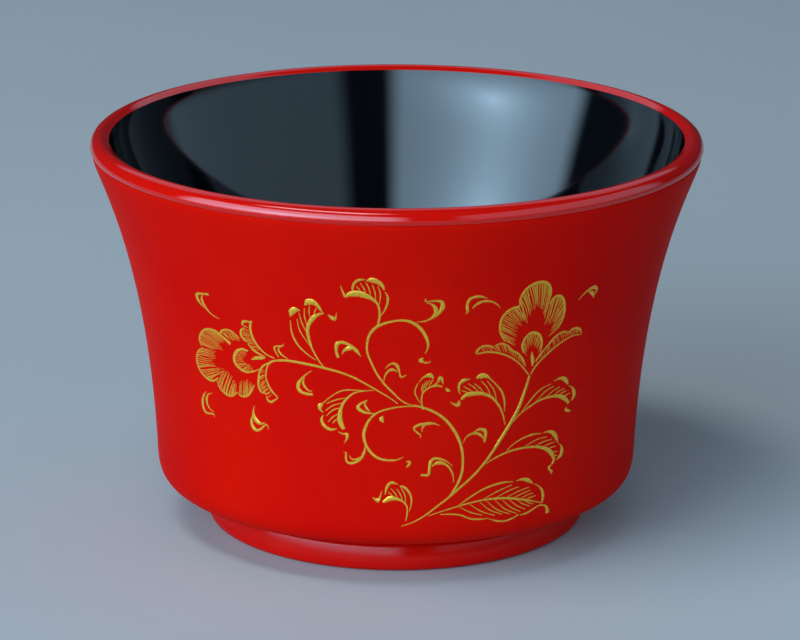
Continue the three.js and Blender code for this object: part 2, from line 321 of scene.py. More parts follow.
red = lacquer("red_lacquer", (0.51, 0.001, 0.0002), (0.58, 0.004, 0.0004), gloss=0.1, haze=0.07)
rim_red = lacquer("rim_red_lacquer", (0.50, 0.002, 0.0005), (0.56, 0.004, 0.001), gloss=1.0, haze=0.06)
foot_red = lacquer("foot_red_lacquer", (0.50, 0.001, 0.0003), (0.56, 0.003, 0.0004), gloss=0.32, haze=0.13)
black = lacquer("black_lacquer", (0.0008, 0.0011, 0.0016), (0.0014, 0.0019, 0.0026), gloss=1.0, haze=0.06)
recess_black = lacquer("recess_black_lacquer", (0.003, 0.003, 0.0035), (0.006, 0.006, 0.007),
                       gloss=0.8, haze=0.2)
bare_wood = wood("turned_wood")
gold_paint = gold("gold_paint")


# ---------------------------------------------------------------- turned pieces
def make_bowl():
    depth = COAT + GAP
    skin = np.vstack([outside, EDGE_UNDER_BEAD])
    coat("outer_red_lacquer", skin, red, "outer_red_coat")
    coat("rim_bead_lacquer", bead, rim_red, "rim_red_coat")
    back = offset(inside, COAT)[1:]
    lining_coat = np.vstack([[(0, FLOOR_EDGE[1] - COAT)], back[::-1], [BEAD_EDGE + LINING_TUCK],
                             inside, [(0, FLOOR_EDGE[1])]])
    turned("inner_black_lacquer", lining_coat, black, "inner_black_coat", closed=False)
    # the slices drop the offset points that fold back where the wall, the bead and the lining join
    core = np.vstack([[(0, RECESS_TOP + GAP)], offset(outside, depth), offset(bead, depth)[4:-2],
                      offset(inside, depth)[2:], [(0, FLOOR_EDGE[1] - depth)]])
    turned("wood_core", core, bare_wood, "bowl_core", closed=False)


def make_foot():
    coat("foot_red_lacquer", foot_outside, foot_red, "foot_red_coat")
    # the slice leaves out the offset outline's first points, which rise towards the recess
    ring = np.vstack([offset(foot_outside, COAT + GAP)[2:],
                      [(RECESS_RADIUS, RING_TOP), (RECESS_RADIUS, RING_BOTTOM)]])
    turned("wood_foot_ring", ring, bare_wood, "foot_ring")
    back = RECESS_RADIUS - GAP
    front = back - COAT
    corner = spline([(front + x, RECESS_CEILING + z) for x, z in RECESS_CORNER], steps=6)
    dish = np.vstack([[(0, RECESS_CEILING)], corner, [(front, RECESS_RIM), (back, RECESS_RIM)],
                      [(back, RECESS_TOP), (0, RECESS_TOP)]])
    turned("recess_black_lacquer", dish, recess_black, "recess_black_coat",
           closed=False)


# ---------------------------------------------------------------- the painting
RELIEF = 0.05       # height of a full brush mark above the red lacquer
SUNK = 0.05         # how far a mark's underside lies below the red surface
BRUSH_STEP = 0.28   # distance between two sections of a mark
BRUSH_WIDTH = 0.9   # how wide a mark is for its pressure
LIGHT_TOUCH = 0.3   # the soft brush of the leaves and curls swells where it is pressed harder than this
SWELL = 1.6
WIDEST_MARK = 1.3
STREAKS = 1.8       # how fast the bristle streaks change across a mark
FULL_WIDTH = 0.5    # a mark this wide carries a full load of gold
WOBBLE = 0.06       # how unevenly the brush holds its width, as a share of it
THIN_RISE = 0.35    # the thinnest mark's share of RELIEF; a wider one adds its width in millimetres
SHOULDER = 0.42     # how far from its middle a mark's top bends down, as a share of its width
SHOULDER_RISE = 0.8           # how high the top is there, as a share of the height at its middle
SECTION_POINTS = 5
FEWEST_STEPS = 4
HATCH_WIDTH = 0.2
HATCH_STRAY = 0.18            # how far a hatch mark lies from its even place, in spacings
HATCH_REACH = (0.8, 1.04)     # shortest and longest hatch mark, as a share of the way to its root
HATCH_BEND = 0.05             # how far its middle lies to one side, as a share of its length
HATCH_PRESSURE = (0.8, 1.25)  # lightest and heaviest hatch mark, as a share of its width
HATCH_TAPER = (1, 0.9, 0.3)   # pressure at its end, middle and root
VEIN_TAPER = (0.2, 0.3, 0.14)


def wall_radius(height):
    return float(np.interp(height, outside[:, 1], outside[:, 0]))


def on_wall(arc, height, lift):
    angle = arc / ARC_RADIUS
    radius = wall_radius(height) + lift
    return (radius * math.sin(angle), -radius * math.cos(angle), height)


def hatch(ends, roots, count, width=HATCH_WIDTH):
    """Fine marks from one guide line to another, a little uneven as a hand makes them."""
    ends, roots = spline(ends, steps=8), spline(roots, steps=8)
    marks = []
    for i in range(count):
        place = (i + 0.5 + rng.uniform(-HATCH_STRAY, HATCH_STRAY)) / count
        a = ends[round(place * (len(ends) - 1))]
        b = roots[round(place * (len(roots) - 1))]
        b = a + (b - a) * rng.uniform(*HATCH_REACH)
        side = np.array([-(b - a)[1], (b - a)[0]]) * rng.uniform(-HATCH_BEND, HATCH_BEND)
        middle = (a + b) / 2 + side
        pressure = width * rng.uniform(*HATCH_PRESSURE)
        marks.append(([tuple(a), tuple(middle), tuple(b)], [pressure * part for part in HATCH_TAPER]))
    return marks


def veins(*triples):
    """Leaf veins, each given as its three points from the leaf's edge to its rib."""
    return [(list(points), VEIN_TAPER) for points in triples]


def even_steps(knots):
    """Points at even distances along the smooth curve through the knots, and how far along each lies."""
    curve = spline(knots, steps=12)
    lengths = np.concatenate([[0], np.cumsum(np.linalg.norm(np.diff(curve, axis=0), axis=1))])
    count = max(FEWEST_STEPS, int(lengths[-1] / BRUSH_STEP))
    place = np.linspace(0, lengths[-1], count + 1)
    return np.column_stack([np.interp(place, lengths, curve[:, k]) for k in (0, 1)]), place


def mark_widths(pressures, place, swell):
    """A mark's width at each place along it, from the pressures that are spread evenly over it."""
    along = place / place[-1] * (len(pressures) - 1)
    pressure = np.interp(along, range(len(pressures)), pressures)
    spread = 1 + swell * np.maximum(pressure - LIGHT_TOUCH, 0)
    return np.minimum(pressure * BRUSH_WIDTH * spread, WIDEST_MARK)


def ribbon_faces(first, steps):
    """The faces of a closed ribbon whose sections start at point number first."""
    faces = []
    for i in range(steps):
        here = first + SECTION_POINTS * i
        there = here + SECTION_POINTS
        for k in range(SECTION_POINTS):
            n = (k + 1) % SECTION_POINTS
            faces.append((here + n, here + k, there + k, there + n))
    faces.append(tuple(first + k for k in range(SECTION_POINTS)))
    faces.append(tuple(first + SECTION_POINTS * steps + k for k in reversed(range(SECTION_POINTS))))
    return faces


def gold_piece(node, marks, swell):
    """One motif: its brush marks are closed, slightly domed ribbons that lie on the wall."""
    points, faces = [], []
    numbers = {"across": [], "along": [], "load": []}
    for knots, pressures in marks:
        centre, place = even_steps(knots)
        along = np.gradient(centre, axis=0)
        along /= np.linalg.norm(along, axis=1)[:, None]
        widths = mark_widths(pressures, place, swell)
        shade = rng.uniform(0, 50)    # where in the streaks' pattern this mark lies
        first = len(points)
        for middle, direction, width, distance in zip(centre, along, widths, place):
            width *= 1 + rng.uniform(-WOBBLE, WOBBLE)
            rise = RELIEF * min(1, THIN_RISE + width)
            lower = rise * SHOULDER_RISE
            section = [(-0.5, -SUNK), (-SHOULDER, lower), (0, rise), (SHOULDER, lower), (0.5, -SUNK)]
            for side, lift in section:
                arc = middle[0] + direction[1] * side * width
                height = middle[1] - direction[0] * side * width
                points.append(on_wall(arc, height, lift))
                numbers["across"].append(side * width * STREAKS + shade)
                numbers["along"].append(float(distance) + shade)
                numbers["load"].append(min(1.0, width / FULL_WIDTH))
        faces += ribbon_faces(first, len(place) - 1)
    name = node.replace("gold_", "brush_", 1)
    piece = solid(name, points, faces, gold_paint, sharp_degrees=60, **numbers)
    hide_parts(node)


def stems():
    main = [(1.1, 13.2), (3.2, 13.9), (5.5, 15.1), (8, 16.9), (10.7, 18.9), (13, 20.8), (15.5, 22.9),
            (17.7, 25.2), (19.5, 27.6), (21.2, 30.2), (22.8, 32.8), (24.2, 35.4), (25.1, 38), (25.7, 40.3),
            (26.1, 42.3)]
    scroll = [(10.7, 18.9), (11.8, 20.5), (12.7, 22.3), (13.2, 24.3), (13.2, 26.7), (12.9, 28.8),
              (12.2, 30.8), (11.2, 32.7), (9.9, 34.5), (8.3, 36), (6.5, 37.1), (4.8, 37.8), (3.4, 38.2)]
    upper = [(4, 37.9), (2, 38.6), (0.7, 39.5), (-0.7, 41), (-2.2, 42.7), (-3.5, 44.7), (-4.5, 47),
             (-5.2, 49.2), (-5.2, 51.2), (-4.7, 53), (-3.6, 54.5), (-2.3, 55.3), (-0.8, 55.8), (0.9, 56.1),
             (2.6, 55.7), (4.1, 54.5), (5.1, 52.9), (5.7, 51.2), (5.6, 49.9), (5.2, 49)]
    lower = [(4, 38), (1.8, 38), (0, 37.8), (-1.6, 37.4), (-3, 36.9), (-4.2, 36.1), (-5.2, 34.9),
             (-5.9, 33.3), (-6.2, 31.8), (-5.9, 30.2), (-5.2, 28.8), (-4.2, 27.7), (-2.9, 27), (-1.3, 26.8),
             (0.2, 26.9), (1.5, 27.5)]
    left = [(0.3, 38.6), (-1.5, 40), (-3.7, 41.4), (-6, 42.8), (-8.3, 44), (-11, 44.9), (-13.5, 45.4),
            (-16, 45.8), (-20, 46.1), (-22.3, 45.9), (-23.9, 45.4), (-24.7, 44.8)]
    return {
        "gold_main_stem": [(main, [0.2, 0.35, 0.45, 0.5, 0.55, 0.6, 0.8, 0.85, 0.75, 0.45])],
        "gold_scroll_stem": [(scroll, [0.45, 0.7, 0.6, 0.6, 0.7, 0.65, 0.6, 0.45])],
        "gold_upper_tendril": [(upper, [0.3, 0.35, 0.5, 0.45, 0.45, 0.5, 0.7, 0.5, 0.75, 0.7, 0.2])],
        "gold_lower_tendril": [(lower, [0.25, 0.35, 0.45, 0.45, 0.7, 0.6, 0.65, 0.5, 0.15])],
        "gold_left_stem": [(left, [0.25, 0.35, 0.45, 0.5, 0.6, 0.65, 0.6, 0.4])],
    }


def leaves():
    left_up = [
        ([(-13.3, 45.4), (-14.4, 47), (-15.5, 49.5), (-16, 52.2), (-15.8, 54), (-14.9, 55.6), (-13.8, 56.6),
          (-12.7, 57)], [0.3, 0.35, 0.4, 0.5, 0.55, 0.65, 0.35]),
        ([(-14.9, 46.9), (-16.7, 48.2), (-18.3, 50), (-19.1, 52.3), (-19.1, 54.8)],
         [0.2, 0.35, 0.4, 0.35, 0.2]),
        ([(-19, 55.6), (-18.6, 56.7), (-17.9, 57.2), (-17, 57.1)], [0.25, 0.8, 0.8, 0.2]),
        ([(-16.1, 58.3), (-15.4, 59.1), (-14.6, 59.2), (-13.9, 58.7), (-13.4, 58), (-13, 57.2)],
         [0.2, 0.8, 0.9, 0.6, 0.5, 0.3]),
        *veins([(-17.3, 56.6), (-16.9, 54.4), (-16, 52)], [(-16.2, 57.7), (-16.3, 55.8), (-15.9, 53.6)],
               [(-15.2, 58.4), (-15.4, 57), (-15.3, 55.4)], [(-14, 58), (-14.4, 57), (-14.6, 56.2)],
               [(-17.8, 55.2), (-17.4, 52.6), (-15.6, 49.5)]),
        ([(-12, 56.8), (-11.4, 56.2), (-10.9, 55.9), (-10.6, 56.4), (-10.4, 57.3)],
         [0.2, 0.6, 0.6, 0.3, 0.15]),
    ]
    top = [
        ([(-3.3, 54.8), (-2.9, 56.8), (-3, 58.8), (-3.7, 60.2), (-5, 61.1), (-6.5, 61.6), (-7.8, 61.4),
          (-8.8, 60.8)], [0.35, 0.4, 0.4, 0.4, 0.6, 0.85, 0.8, 0.45]),
        ([(-8.7, 60.8), (-9, 61.6), (-9.4, 63.1)], [0.5, 0.35, 0.2]),
        ([(-2.7, 57), (-2, 58.2), (-1.5, 59.8), (-1.5, 61.2), (-1.9, 62.1)], [0.2, 0.35, 0.4, 0.4, 0.25]),
        ([(-2, 62.5), (-2.4, 63.5), (-3.2, 64.3), (-4.2, 64.6), (-5, 64.4)], [0.3, 0.55, 0.65, 0.8, 0.3]),
        ([(-5.2, 64.6), (-6.1, 64.6), (-6.9, 64), (-7.3, 63.1), (-7.4, 62)], [0.3, 0.5, 0.45, 0.4, 0.3]),
        *veins([(-3.1, 63.3), (-2.7, 61.6), (-2.9, 59.4)], [(-4, 63.6), (-3.6, 62), (-3.5, 60.3)],
               [(-5.1, 64.1), (-4.6, 62.8), (-4.3, 60.9)], [(-6, 63.9), (-5.4, 62.6), (-5.1, 61.3)],
               [(-6.7, 63.2), (-6.3, 62.6), (-5.9, 61.8)]),
    ]
    left_down = [
        ([(-4.1, 41.3), (-6, 41.1), (-7.8, 40.6), (-9.2, 39.4), (-10.2, 37.9), (-10.7, 36.1), (-10.7, 34.4),
          (-10.1, 32.9)], [0.2, 0.3, 0.35, 0.4, 0.45, 0.6, 0.75, 0.6]),
        ([(-6.2, 41.2), (-9.3, 41.1), (-11, 40.5), (-12.7, 39.2), (-14.1, 37.9)],
         [0.2, 0.3, 0.3, 0.25, 0.25]),
        ([(-14, 37.9), (-14.6, 37.4), (-14.6, 36.6), (-14, 36.1)], [0.4, 0.7, 0.5, 0.2]),
        ([(-14, 35.5), (-14.4, 34.7), (-14.2, 33.7), (-13.6, 33), (-12.6, 32.6), (-11.4, 32.9)],
         [0.2, 0.5, 0.55, 0.55, 0.5, 0.2]),
        *veins([(-13.3, 38), (-11.4, 38.9), (-9.3, 39.5)], [(-13.5, 36.5), (-12, 37.7), (-10, 38.4)],
               [(-13.4, 35.4), (-12.1, 36.7), (-10.4, 37.4)], [(-13.1, 34.2), (-12, 35.4), (-10.7, 36.2)],
               [(-12.2, 34), (-11.6, 34.7), (-10.9, 35.1)]),
        ([(-11.2, 32.3), (-10.2, 31.9), (-9.5, 31.9), (-9.5, 31), (-10.1, 30)], [0.2, 0.3, 0.6, 0.4, 0.15]),
    ]
    centre = [
        ([(5.1, 37.3), (4.8, 39), (4.9, 40.4), (5.6, 41.4), (6.6, 42), (7.6, 42.2), (8.7, 41.9)],
         [0.35, 0.35, 0.35, 0.3, 0.35, 0.5, 0.3]),
        ([(4.6, 38.7), (3.9, 39.8), (3.5, 41.1), (3.8, 42.2), (4.1, 42.8)], [0.15, 0.25, 0.3, 0.3, 0.2]),
        ([(4.3, 43), (4.8, 43.8), (5.6, 44.3), (6.3, 44.4), (6.9, 43.8)], [0.15, 0.3, 0.45, 0.7, 0.4]),
        ([(7.6, 42.6), (8.1, 43.8), (8.4, 43.8), (8.8, 42.4)], [0.2, 0.5, 0.5, 0.2]),
        *veins([(5, 42.7), (4.8, 41.6), (5, 40.4)], [(5.7, 43.3), (5.2, 42.2), (5.1, 41)],
               [(6.3, 43.4), (5.7, 42.5), (5.4, 41.5)], [(6.9, 43.5), (6.4, 42.7), (6.1, 42)],
               [(8.2, 43.2), (7.6, 42.8), (6.8, 42.2)]),
        ([(9.3, 41.6), (9.7, 41.1), (10.2, 40.9)], [0.2, 0.6, 0.3]),
    ]
    low_left = [
        ([(2, 14.3), (2.3, 15.8), (2.2, 17.3), (1.4, 18.3), (0.2, 18.8), (-1.1, 18.9), (-2.5, 18.1)],
         [0.25, 0.35, 0.35, 0.4, 0.55, 0.75, 0.45]),
        ([(-2.7, 20.5), (-3.1, 19.2), (-3.4, 18.4)], [0.15, 0.35, 0.5]),
        ([(-3.3, 18.4), (-3.9, 18.6), (-4.6, 19.1)], [0.7, 0.5, 0.15]),
        ([(-2.1, 19.7), (-1.9, 20.8), (-1.4, 21.8), (-0.7, 22.2), (0.5, 21.8)],
         [0.2, 0.45, 0.5, 0.5, 0.15]),
        ([(0.8, 21.4), (1.7, 21.2), (2.6, 20.2), (3.1, 18.8), (3, 17.3), (2.7, 16.3)],
         [0.4, 0.5, 0.4, 0.4, 0.3, 0.2]),
        *veins([(-1.5, 20.3), (-0.8, 19.6), (-0.1, 18.9)], [(-0.9, 20.9), (0, 19.8), (0.5, 18.8)],
               [(0.2, 20.9), (1, 19.6), (1.3, 18.4)], [(1.1, 21), (1.8, 19.6), (2, 17.8)]),
    ]
    right_inner = [
        ([(21.7, 32.7), (21, 35.1), (19.9, 37.2), (18.4, 38.9), (16.6, 39.8), (14.8, 40), (13.3, 39.8),
          (12.4, 39)], [0.25, 0.35, 0.4, 0.45, 0.5, 0.6, 0.7, 0.45]),
        ([(21.3, 35.6), (21.2, 37.6), (20.5, 39.7), (19.2, 41.4), (17.9, 42.8)],
         [0.2, 0.4, 0.4, 0.35, 0.3]),
        ([(17.9, 42.8), (17.1, 43.4), (16.2, 43.6), (15.1, 43.2)], [0.3, 0.6, 0.8, 0.4]),
        ([(13.9, 43.1), (12.8, 43), (12, 42.4), (11.8, 41.3), (12.1, 40.1)], [0.2, 0.6, 0.5, 0.4, 0.2]),
        *veins([(12.3, 40.9), (13.2, 40.5), (14, 40)], [(12.7, 41.7), (13.9, 40.9), (15, 40.1)],
               [(13.6, 42.2), (14.9, 41.2), (16, 40)], [(14.8, 42.1), (16.1, 40.9), (16.9, 39.7)],
               [(16.1, 42.5), (17.4, 41), (18.2, 39.2)], [(17.3, 42.4), (18.8, 40.3), (19.5, 38.1)]),
        ([(12, 38.8), (11.9, 37.9), (11.2, 38), (10.3, 38.6)], [0.3, 0.7, 0.4, 0.15]),
    ]
    right_outer = [
        ([(23.2, 32.9), (24.8, 34.5), (27.2, 35.9), (29.3, 36.7), (31.2, 36.9), (33, 36.8), (34.7, 36.2),
          (35.8, 35.4), (36.5, 34.6)], [0.25, 0.3, 0.35, 0.4, 0.45, 0.5, 0.7, 0.5]),
        ([(25.2, 35), (26.6, 36.7), (28, 38.2), (29.6, 39.2), (31.3, 39.6)], [0.2, 0.3, 0.35, 0.3, 0.2]),
        ([(32, 40.1), (33.4, 40.4), (34.5, 40.1), (35.3, 39.4), (35.7, 38.7)], [0.15, 0.4, 0.6, 0.7, 0.35]),
        ([(35.9, 38.4), (36.8, 37.9), (37.5, 37.1), (37.8, 36.2), (37.6, 35.4), (37, 35)],
         [0.15, 0.25, 0.55, 0.7, 0.55, 0.2]),
        *veins([(32.1, 39), (30.2, 38.3), (28.2, 36.6)], [(33.7, 38.6), (32, 38), (30.4, 37)],
               [(35, 38), (33.6, 37.7), (32.2, 37)], [(35.6, 37.4), (34.5, 37.2), (33.5, 36.8)],
               [(36.6, 36.7), (35.6, 36.5), (34.7, 36.3)]),
        ([(36.1, 33.9), (35.9, 33.4), (36.6, 33), (37.5, 32.7)], [0.2, 0.6, 0.5, 0.15]),
    ]
    right_middle = [
        ([(17.8, 25), (19.8, 26), (22.2, 26.8), (24.6, 27.2), (27, 27.2), (29.3, 26.9), (31.3, 26.2),
          (32.7, 25.3), (33.6, 24.2), (33.9, 23.2), (33.4, 22.5)],
         [0.25, 0.35, 0.4, 0.4, 0.45, 0.55, 0.7, 0.4]),
        ([(22.3, 27.2), (24, 28.5), (26.2, 29.4), (28.4, 29.7), (30.2, 29.5)], [0.2, 0.3, 0.35, 0.4, 0.2]),
        ([(30.6, 29.6), (31.9, 29.6), (33.1, 29.1), (34, 28.1), (34.6, 26.8)],
         [0.15, 0.45, 0.65, 0.65, 0.3]),
        ([(34.8, 26.5), (35.6, 25.9), (35.9, 24.9), (35.7, 23.9), (34.6, 23.2)],
         [0.15, 0.4, 0.65, 0.6, 0.2]),
        *veins([(31.6, 28.6), (29, 28.4), (26, 27.3)], [(33, 27.8), (31, 27.7), (28.6, 27.1)],
               [(33.7, 27.1), (32.1, 26.9), (30.5, 26.6)], [(34.2, 26.1), (33, 26.1), (31.9, 25.9)],
               [(34.6, 25), (33.8, 25), (33, 25.1)], [(34.7, 24), (34.2, 24.2), (33.6, 24.3)]),
        ([(33.3, 22.4), (32.7, 22), (33, 21.4), (33.6, 21), (33.2, 20.5)], [0.3, 0.5, 0.4, 0.5, 0.15]),
    ]
    bottom = [
        ([(6.5, 15.2), (9.2, 16), (12.4, 16.8), (15, 17.3), (17.5, 17.6), (20.2, 17.6), (23, 17.3),
          (26, 16.6), (28.8, 15.8), (31.4, 14.9)], [0.2, 0.3, 0.35, 0.35, 0.45, 0.45, 0.4, 0.2]),
        ([(12.6, 17), (15, 18.5), (17.6, 19.8), (20.2, 20.5), (22.4, 20.7), (24.2, 20.5)],
         [0.2, 0.35, 0.35, 0.4, 0.4, 0.2]),
        ([(24.9, 20.6), (26.4, 20.7), (27.8, 20.2), (28.9, 19.4)], [0.2, 0.5, 0.65, 0.3]),
        ([(29.1, 19.3), (30.3, 18.6), (31.3, 17.5), (31.6, 16.2), (31.4, 15)], [0.15, 0.3, 0.5, 0.6, 0.35]),
        ([(8.9, 15.4), (11.2, 15.3), (13.2, 14.9), (15.2, 14), (17.2, 13.7), (18.8, 13.7)],
         [0.2, 0.35, 0.35, 0.35, 0.4, 0.25]),
        ([(19, 13.6), (20.8, 12.9), (22.6, 12.6), (24.3, 12.9), (25.8, 13.5)], [0.15, 0.4, 0.4, 0.4, 0.3]),
        ([(26.2, 13.3), (27.9, 13.5), (29.6, 14.2), (31, 14.5), (32.3, 14.1), (32.9, 13.2), (33, 12.5)],
         [0.2, 0.45, 0.4, 0.35, 0.3, 0.5, 0.7]),
        *veins([(24, 19.9), (21, 19.1), (17.6, 17.7)], [(25.6, 19.3), (23, 18.7), (20.4, 17.7)],
               [(28, 18.8), (25.4, 18.3), (22.6, 17.4)], [(28.4, 18.1), (26.4, 17.7), (24.2, 17.1)],
               [(29.1, 17.4), (27.6, 17.2), (26, 16.7)], [(29.8, 16.7), (28.6, 16.6), (27.2, 16.3)],
               [(17.6, 14.5), (15, 15.4), (12.7, 16.7)], [(20.4, 14.1), (17.4, 15.3), (14.8, 17.1)],
               [(22, 14.1), (19.2, 15.4), (16.9, 17.4)], [(23.8, 13.9), (20.9, 15.2), (18.4, 17.4)],
               [(25.3, 13.8), (22.5, 15.2), (20.2, 17.4)], [(26.2, 14), (23.9, 15.3), (21.8, 17.2)],
               [(27.4, 14.3), (25.3, 15.4), (23.4, 17)], [(28.4, 14.8), (26.6, 15.6), (25.2, 16.7)],
               [(29.2, 15.1), (28, 15.6), (26.8, 16.3)]),
    ]
    return {
        "gold_leaf_left_up": left_up,
        "gold_leaf_top": top,
        "gold_leaf_left_down": left_down,
        "gold_leaf_centre": centre,
        "gold_leaf_low_left": low_left,
        "gold_leaf_right_inner": right_inner,
        "gold_leaf_right_outer": right_outer,
        "gold_leaf_right_middle": right_middle,
        "gold_leaf_bottom": bottom,
    }


def left_flower():
    petal_1 = [
        ([(-40.7, 45.3), (-41, 46.6), (-40.3, 48), (-39, 49.1), (-37.3, 49.6), (-35.6, 49.3), (-34.2, 48.4),
          (-32.8, 47.5)], [0.3, 0.45, 0.5, 0.5, 0.5, 0.6, 0.6, 0.8]),
        *hatch([(-40.7, 45.6), (-40.9, 46.8), (-40.2, 48), (-38.8, 49), (-37.2, 49.4), (-35.6, 49)],
               [(-37, 45.2), (-35.4, 45.7), (-34.7, 46), (-35.2, 46.7), (-34.8, 47.2), (-34, 47.6)], 16,
               0.24),
    ]
    petal_2 = [
        ([(-34.9, 49.3), (-34.3, 50), (-33, 50.4), (-31.8, 50.2), (-30.9, 49.6), (-30.4, 49.1)],
         [0.4, 0.5, 0.5, 0.4, 0.3, 0.2]),
        *hatch([(-34.7, 49.4), (-33.6, 50), (-32.4, 50.1), (-31.4, 49.9), (-30.7, 49.5)],
               [(-33, 48.3), (-32.2, 48.3), (-31.6, 48.3), (-31, 48.3), (-30.5, 48.5)], 8, 0.24),
    ]
    petal_3 = [
        ([(-40.2, 45), (-41.6, 44.3), (-42.6, 42.9), (-42.9, 41.3), (-42.3, 39.8), (-41, 38.8),
          (-39.4, 38.4), (-38.1, 38.8), (-37.2, 39.5)], [0.3, 0.35, 0.4, 0.45, 0.5, 0.5, 0.6, 0.5, 0.3]),
        *hatch([(-39.8, 44.9), (-41.6, 44.1), (-42.5, 42.8), (-42.7, 41.3), (-42.1, 40), (-40.8, 39),
                (-39.3, 38.7)],
               [(-36.8, 45), (-36.8, 44.2), (-37.2, 43.3), (-37, 42.4), (-36, 41.9), (-35.4, 41.5),
                (-36, 40.8)],
               19, 0.24),
    ]
    petal_4 = [
        ([(-37.5, 38.8), (-37.3, 37.8), (-36.5, 36.9), (-35.2, 36.3), (-34, 36.4), (-33.1, 37),
          (-32.5, 37.5)],
         [0.3, 0.45, 0.5, 0.55, 0.5, 0.45, 0.3]),
        *hatch([(-37.2, 38.9), (-36.9, 37.7), (-36, 36.8), (-35, 36.5), (-34, 36.6), (-33.2, 37.2)],
               [(-35.6, 41.4), (-34.4, 41.9), (-33.6, 41.6), (-33.2, 40.2), (-32.8, 39.6), (-32.4, 39.2)],
               14, 0.24),
    ]
    petal_5 = [
        ([(-32.4, 37.2), (-31.4, 36.8), (-30.3, 37.1), (-29.5, 37.8), (-28.9, 38.7), (-28.2, 39.8)],
         [0.3, 0.45, 0.5, 0.45, 0.4, 0.2]),
        *hatch([(-32.2, 37.4), (-31.3, 37), (-30.4, 37.3), (-29.6, 37.9), (-29, 38.7)],
               [(-31.8, 39.8), (-30.8, 40.4), (-30, 40.8), (-29.2, 40.4), (-28.6, 40)], 9, 0.24),
    ]
    heart = [
        ([(-28.8, 46.8), (-30.2, 46.9), (-31.5, 46.2), (-32.3, 44.9), (-32.2, 43.5), (-31.2, 42.6),
          (-29.8, 42.2), (-28.2, 42.6), (-26.7, 43.4)], [0.45, 0.6, 0.7, 0.7, 0.65, 0.6, 0.45, 0.35, 0.15]),
        *hatch([(-29.2, 46.8), (-31, 46.3), (-32, 45), (-32, 43.6), (-31, 42.7), (-29.8, 42.4),
                (-28.4, 42.6)],
               [(-29.2, 45.9), (-29.8, 45.3), (-30.2, 44.6), (-29.6, 44.1), (-29, 44), (-28.6, 43.9),
                (-28, 43.4)],
               15, 0.22),
    ]
    upper_sepal = [
        ([(-23.2, 46.2), (-24.7, 46.7), (-26, 47.7), (-27.1, 49.2), (-27.6, 51), (-27.5, 52.4),
          (-27.1, 53.4)],
         [0.3, 0.4, 0.5, 0.6, 0.65, 0.6, 0.4]),
        ([(-27.2, 53.1), (-28.4, 53.1), (-29.1, 52.8), (-29.3, 52.1)], [0.4, 0.5, 0.7, 0.3]),
        ([(-28.9, 51.6), (-29.7, 51), (-29.9, 50), (-29.3, 49), (-28.6, 48.8)], [0.3, 0.5, 0.6, 0.6, 0.3]),
        ([(-28.6, 48.4), (-27.7, 47.3), (-26.6, 46.7), (-25.2, 46.2)], [0.3, 0.5, 0.5, 0.3]),
        *hatch([(-29, 52.3), (-29.5, 50.8), (-29.2, 49.6), (-28.3, 48.3), (-27.2, 47.2)],
               [(-27.9, 52), (-27.8, 50.6), (-27.3, 49.4), (-26.6, 48.4), (-25.8, 47.4)], 13),
    ]
    lower_sepal = [
        ([(-24, 45.3), (-24.8, 44.4), (-25.3, 43), (-25.4, 41.6), (-25, 40.2), (-24.3, 39), (-23.3, 38.1)],
         [0.5, 0.35, 0.35, 0.35, 0.45, 0.5, 0.3]),
        ([(-23.2, 38), (-24, 37.3), (-24.9, 36.8), (-25.5, 37.1), (-25.7, 37.9)],
         [0.3, 0.4, 0.6, 0.5, 0.2]),
        ([(-24.6, 45), (-25.9, 44.1), (-26.8, 42.7), (-27.2, 41), (-27.3, 39.7), (-26.8, 38.6),
          (-25.9, 38.5)],
         [0.3, 0.45, 0.45, 0.4, 0.5, 0.5, 0.3]),
        *hatch([(-26.4, 43.4), (-27, 41.2), (-26.9, 39.6), (-26.3, 38.7), (-25.4, 37.5)],
               [(-25.4, 43.6), (-25.5, 42.2), (-25.4, 41), (-24.9, 39.7), (-24, 38.6)], 15),
    ]
    return {
        "gold_left_flower_petal_1": petal_1,
        "gold_left_flower_petal_2": petal_2,
        "gold_left_flower_petal_3": petal_3,
        "gold_left_flower_petal_4": petal_4,
        "gold_left_flower_petal_5": petal_5,
        "gold_left_flower_heart": heart,
        "gold_left_flower_pistil": [([(-28.3, 45.1), (-27.2, 45.6), (-26.2, 45.8), (-25.1, 46)],
                                     [0.2, 0.85, 0.85, 0.3])],
        "gold_left_flower_upper_sepal": upper_sepal,
        "gold_left_flower_lower_sepal": lower_sepal,
    }


